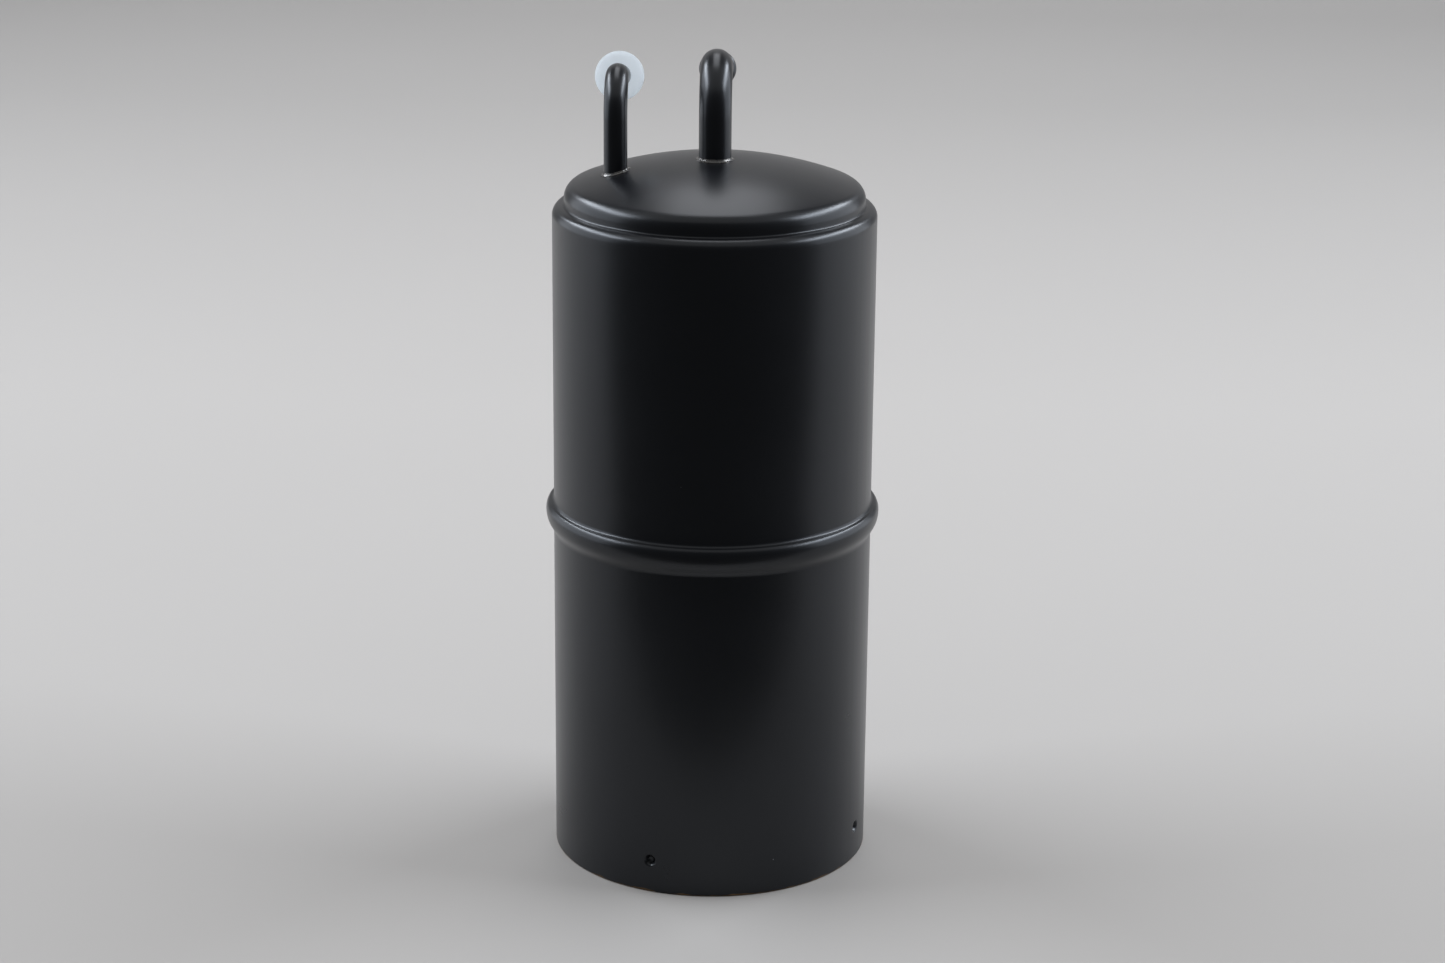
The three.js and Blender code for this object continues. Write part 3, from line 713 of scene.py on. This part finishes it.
zinc = plated("zinc plate", (0.46, 0.46, 0.47), (0.62, 0.63, 0.65), 0.28, 0.42)
flats, head_low, head_top, shank, nose = 13 * MM, 3.6 * MM, 7.6 * MM, 5.8 * MM, 19.5 * MM


def hexagon_head(mesh):
    """Presses the round head in to six flats."""
    for vertex in mesh.vertices:
        x, y, z = vertex.co
        out = math.hypot(x, y)
        if z > head_top or out < shank:
            continue
        sector = (math.atan2(y, x)) % (math.pi / 3) - math.pi / 6
        limit = flats / 2 / math.cos(sector)
        if out > limit:
            vertex.co = (x * limit / out, y * limit / out, z)


corner = flats / math.sqrt(3)
drain = [(0, head_low + 0.4 * MM), (4 * MM, head_low + 0.4 * MM), (4.4 * MM, head_low)]
drain += evenly((5 * MM, head_low), (corner - 0.7 * MM, head_low), 4)
drain += evenly((corner, head_low + 0.5 * MM), (corner, head_top - 0.3 * MM), 4)
drain += [(corner - 0.3 * MM, head_top), (shank, head_top)]
pitch = 1.25 * MM
first = head_top + 1.2 * MM
for k in range(int((nose - 0.8 * MM - first) / pitch)):
    foot = first + k * pitch
    drain += [(shank, foot), (shank, foot + 0.2 * MM), (shank - 0.5 * MM, foot + 0.6 * MM),
              (shank - 0.5 * MM, foot + 0.75 * MM)]
drain += [(shank, nose - 0.6 * MM), (shank - 0.6 * MM, nose), (3.5 * MM, nose),
          (3.5 * MM, nose - 4 * MM), (0, nose - 4 * MM)]
drain_piece = turned("drain_screw", drain, [2 * math.pi * i / 72 for i in range(72)])
hexagon_head(drain_piece.data)
drain_piece.data.materials.append(zinc)
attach(drain_piece, "tank")
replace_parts(drain_piece, "drain_plug")

washer = ringed("copper_washer", eased([(6.1, 7.9), (9.2, 7.9), (9.2, 9.1), (6.1, 9.1)], 0.35), 64)
washer.data.materials.append(plated("soft copper", (0.52, 0.24, 0.14), (0.70, 0.36, 0.24), 0.25, 0.45))
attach(washer, "tank")
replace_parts(washer, "drain_washer")

# ---------------------------------------------------------------- filter core and strainer screen
# Both are rolled from pierced sheet: rows of round holes, each row half a pitch round from the
# last. One pierced cell is repeated over the flat sheet, and the sheet is then rolled up.


def pierced_cell(name, width, height, thick, hole):
    """One closed square of sheet with a round hole through it, lying in the XZ plane."""
    shape = bmesh.new()
    sides = 16
    loops = []
    for y in (0.0, -thick):
        edge, rim_of_hole = [], []
        for i in range(sides):
            angle = 2 * math.pi * (i + 0.5) / sides
            across, along = math.cos(angle), math.sin(angle)
            reach = max(abs(across), abs(along))
            edge.append(shape.verts.new((across / reach * width / 2, y, along / reach * height / 2)))
            rim_of_hole.append(shape.verts.new((across * hole, y, along * hole)))
        loops.append((edge, rim_of_hole))
    (front, front_hole), (back_edge, back_hole) = loops
    for i in range(sides):
        j = (i + 1) % sides
        shape.faces.new((front[i], front[j], front_hole[j], front_hole[i]))
        shape.faces.new((back_hole[i], back_hole[j], back_edge[j], back_edge[i]))
        shape.faces.new((front_hole[i], front_hole[j], back_hole[j], back_hole[i]))
        shape.faces.new((back_edge[i], back_edge[j], front[j], front[i]))
    bmesh.ops.recalc_face_normals(shape, faces=shape.faces)
    mesh = bpy.data.meshes.new(name)
    shape.to_mesh(mesh)
    shape.free()
    return mesh


def rolled_sheet_tree(sizes, material):
    """Repeats the cell over a flat sheet, then rolls the sheet round the Z axis."""
    tree, given = geometry_tree("roll the pierced sheet", sizes)
    count = worked(tree, "MULTIPLY", given["Columns"], given["Rows"])
    spots = joined(tree, "GeometryNodeMeshLine", Count=count)[0]
    index = joined(tree, "GeometryNodeInputIndex")[0]
    row = worked(tree, "FLOOR", worked(tree, "DIVIDE", index, given["Columns"]))
    column = worked(tree, "SUBTRACT", index, worked(tree, "MULTIPLY", row, given["Columns"]))
    half_step = worked(tree, "MULTIPLY", worked(tree, "MODULO", row, 2.0), 0.5)
    along = worked(tree, "MULTIPLY", worked(tree, "ADD", column, half_step), given["Cell width"])
    height = worked(tree, "MULTIPLY", worked(tree, "ADD", row, 0.5), given["Cell height"])
    height = worked(tree, "ADD", height, given["Foot"])
    spot = joined(tree, "ShaderNodeCombineXYZ", X=along, Z=height)[0]
    spread = joined(tree, "GeometryNodeSetPosition", Geometry=spots, Position=spot)[0]
    cells = joined(tree, "GeometryNodeInstanceOnPoints", Points=spread, Instance=given["Geometry"])[0]
    flat = joined(tree, "GeometryNodeRealizeInstances", Geometry=cells)[0]
    x, y, z = joined(tree, "ShaderNodeSeparateXYZ", Vector=joined(tree, "GeometryNodeInputPosition")[0])
    angle = worked(tree, "DIVIDE", x, given["Radius"])
    out = worked(tree, "ADD", given["Radius"], y)
    across = worked(tree, "MULTIPLY", out, worked(tree, "COSINE", angle))
    back = worked(tree, "MULTIPLY", out, worked(tree, "SINE", angle))
    rolled = joined(tree, "ShaderNodeCombineXYZ", X=worked(tree, "ADD", given["Place X"], across),
                    Y=worked(tree, "ADD", given["Place Y"], back), Z=z)[0]
    sheet_round = joined(tree, "GeometryNodeSetPosition", Geometry=flat, Position=rolled)[0]
    close_tree(tree, sheet_round, material)
    return tree


def pierced_tube(name, radius, thick, low, high, columns, rows, hole, place, material):
    width, height = 2 * math.pi * radius / columns, (high - low) / rows
    sizes = {"Columns": columns, "Rows": rows, "Cell width": width, "Cell height": height,
             "Radius": radius, "Foot": low, "Place X": place[0], "Place Y": place[1]}
    cell = pierced_cell(name + "_cell", width, height, thick, hole)
    return grown(name, cell, rolled_sheet_tree(sizes, material), sizes)


stainless = plated("stainless sheet", (0.50, 0.50, 0.49), (0.66, 0.66, 0.65), 0.22, 0.34)
core_low, core_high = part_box("filter_core")
core = pierced_tube("pierced_core", 22.3 * MM, 0.8 * MM, core_low.z, core_high.z, 24, 8, 1.9 * MM,
                    (0.0, 0.0), zinc)
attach(core, "filter_cartridge")
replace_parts(core, "filter_core")
screen_low, screen_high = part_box("strainer_screen")
screen = pierced_tube("pierced_screen", 9.8 * MM, 0.5 * MM, screen_low.z, screen_high.z, 26, 8, 0.8 * MM,
                      suction_place, stainless)
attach(screen, "tank")
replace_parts(screen, "strainer_screen")

# ---------------------------------------------------------------- filter paper
# Resin-treated paper folded into thirty-six pleats with rounded folds, standing between the two
# caps. It is buff coloured with a mottle of fibre, and finely crimped.


def filter_paper():
    material, nodes, links, shader, place = new_material("filter paper")
    fibre = noise(nodes, links, place, 500, 6)
    buff = tinted(nodes, links, fibre, (0.52, 0.42, 0.20), (0.70, 0.60, 0.34))
    links.new(buff, shader["Base Color"])
    links.new(mapped(nodes, links, fibre, 0.3, 0.7, 0.8, 0.95), shader["Roughness"])
    crimp = nodes.new("ShaderNodeTexWave")
    crimp.bands_direction = "Z"
    crimp.inputs["Scale"].default_value = 260
    crimp.inputs["Distortion"].default_value = 2
    links.new(place, crimp.inputs["Vector"])
    roughened(nodes, links, shader, crimp.outputs["Fac"], 0.0001, 0.5)
    return material


def joined_shapes(tree, *shapes):
    together = tree.nodes.new("GeometryNodeJoinGeometry")
    for shape in shapes:
        tree.links.new(shape, together.inputs[0])
    return together.outputs[0]


def pleating_tree(sizes, material):
    """Folds a star-shaped band, rounds its folds, raises it to its height and gives it thickness."""
    tree, given = geometry_tree("fold the paper", sizes)
    star = joined(tree, "GeometryNodeCurveStar", Points=given["Pleats"],
                  Inner_Radius=given["Inner radius"], Outer_Radius=given["Outer radius"])[0]
    folded = joined(tree, "GeometryNodeFilletCurve", {"mode": "POLY"}, Curve=star,
                    Radius=given["Fold radius"], Count=3)[0]
    low = joined(tree, "ShaderNodeCombineXYZ", Z=given["Low"])[0]
    high = joined(tree, "ShaderNodeCombineXYZ", Z=given["High"])[0]
    upright = joined(tree, "GeometryNodeCurvePrimitiveLine", Start=low, End=high)[0]
    band = joined(tree, "GeometryNodeCurveToMesh", Curve=upright, Profile_Curve=folded)[0]
    lifted = joined(tree, "GeometryNodeExtrudeMesh", {"mode": "FACES"}, Mesh=band,
                    Offset_Scale=given["Thickness"], Individual=False)[0]
    inner_face = joined(tree, "GeometryNodeFlipFaces", Mesh=band)[0]
    close_tree(tree, joined_shapes(tree, lifted, inner_face), material)
    return tree


media_low, media_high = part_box("filter_media")
pleats = {"Pleats": 36, "Inner radius": 23.8 * MM, "Outer radius": 32.9 * MM, "Fold radius": 0.45 * MM,
          "Low": media_low.z, "High": media_high.z, "Thickness": 0.4 * MM}
folding = pleating_tree(pleats, filter_paper())
paper = grown("pleated_paper", bpy.data.meshes.new("paper_start"), folding, pleats)
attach(paper, "filter_cartridge")
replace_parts(paper, "filter_media")

# ---------------------------------------------------------------- filter spring
# Oil-tempered spring wire coiled in three turns between the baffle and the cartridge. It holds
# the cartridge up against its seat, and closes by four millimetres when the cartridge sinks.


def coiling_tree(sizes, material):
    tree, given = geometry_tree("coil the spring", sizes)
    coil = joined(tree, "GeometryNodeCurveSpiral", Resolution=40, Rotations=given["Turns"],
                  Start_Radius=given["Coil radius"], End_Radius=given["Coil radius"],
                  Height=given["Rise"])[0]
    wire = joined(tree, "GeometryNodeCurvePrimitiveCircle", Resolution=12, Radius=given["Wire radius"])[0]
    solid = joined(tree, "GeometryNodeCurveToMesh", Curve=coil, Profile_Curve=wire, Fill_Caps=True)[0]
    lift = joined(tree, "ShaderNodeCombineXYZ", Z=given["Low"])[0]
    raised = joined(tree, "GeometryNodeTransform", Geometry=solid, Translation=lift)[0]
    close_tree(tree, raised, material)
    return tree


spring_low, spring_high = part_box("filter_spring")
wire_radius = 0.9 * MM
coils = {"Turns": 3.0, "Coil radius": 24 * MM, "Wire radius": wire_radius,
         "Low": spring_low.z + wire_radius, "Rise": spring_high.z - spring_low.z - 2 * wire_radius}
temper = plated("oil tempered wire", (0.10, 0.11, 0.13), (0.20, 0.21, 0.23), 0.30, 0.45)
spring = grown("coil_spring", bpy.data.meshes.new("spring_start"), coiling_tree(coils, temper), coils)
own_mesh(spring)
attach(spring, "tank")
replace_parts(spring, "filter_spring")

# ---------------------------------------------------------------- pressed plates, caps and rubber
# The tray, baffle, caps and ferrules are pressed from zinc plated sheet, the snap ring is bent
# from spring wire, and every seal is moulded in black nitrile rubber with a dull bloom on it.


def nitrile():
    material, nodes, links, shader, place = new_material("nitrile rubber")
    bloom = noise(nodes, links, place, 140, 4)
    shade = tinted(nodes, links, bloom, (0.010, 0.010, 0.010), (0.028, 0.028, 0.027))
    links.new(shade, shader["Base Color"])
    links.new(mapped(nodes, links, bloom, 0.3, 0.7, 0.62, 0.85), shader["Roughness"])
    roughened(nodes, links, shader, noise(nodes, links, place, 1500), 0.00002, 0.4)
    return material


rubber = nitrile()
nickel = plated("nickel plate", (0.60, 0.58, 0.54), (0.74, 0.72, 0.68), 0.14, 0.24)
finishes = {
    zinc: ("return_tray", "filter_top_cap", "filter_bottom_cap", "baffle_plate", "strainer_ferrule",
           "strainer_end_cap"),
    rubber: ("tray_gasket", "suction_grommet", "filter_top_seal", "filter_bottom_seal",
             "bottom_plug_o_ring"),
    temper: ("baffle_snap_ring",),
    nickel: ("drain_plug_magnet",),
}
for material, names in finishes.items():
    for name in names:
        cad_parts[name].data.materials.clear()
        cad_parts[name].data.materials.append(material)
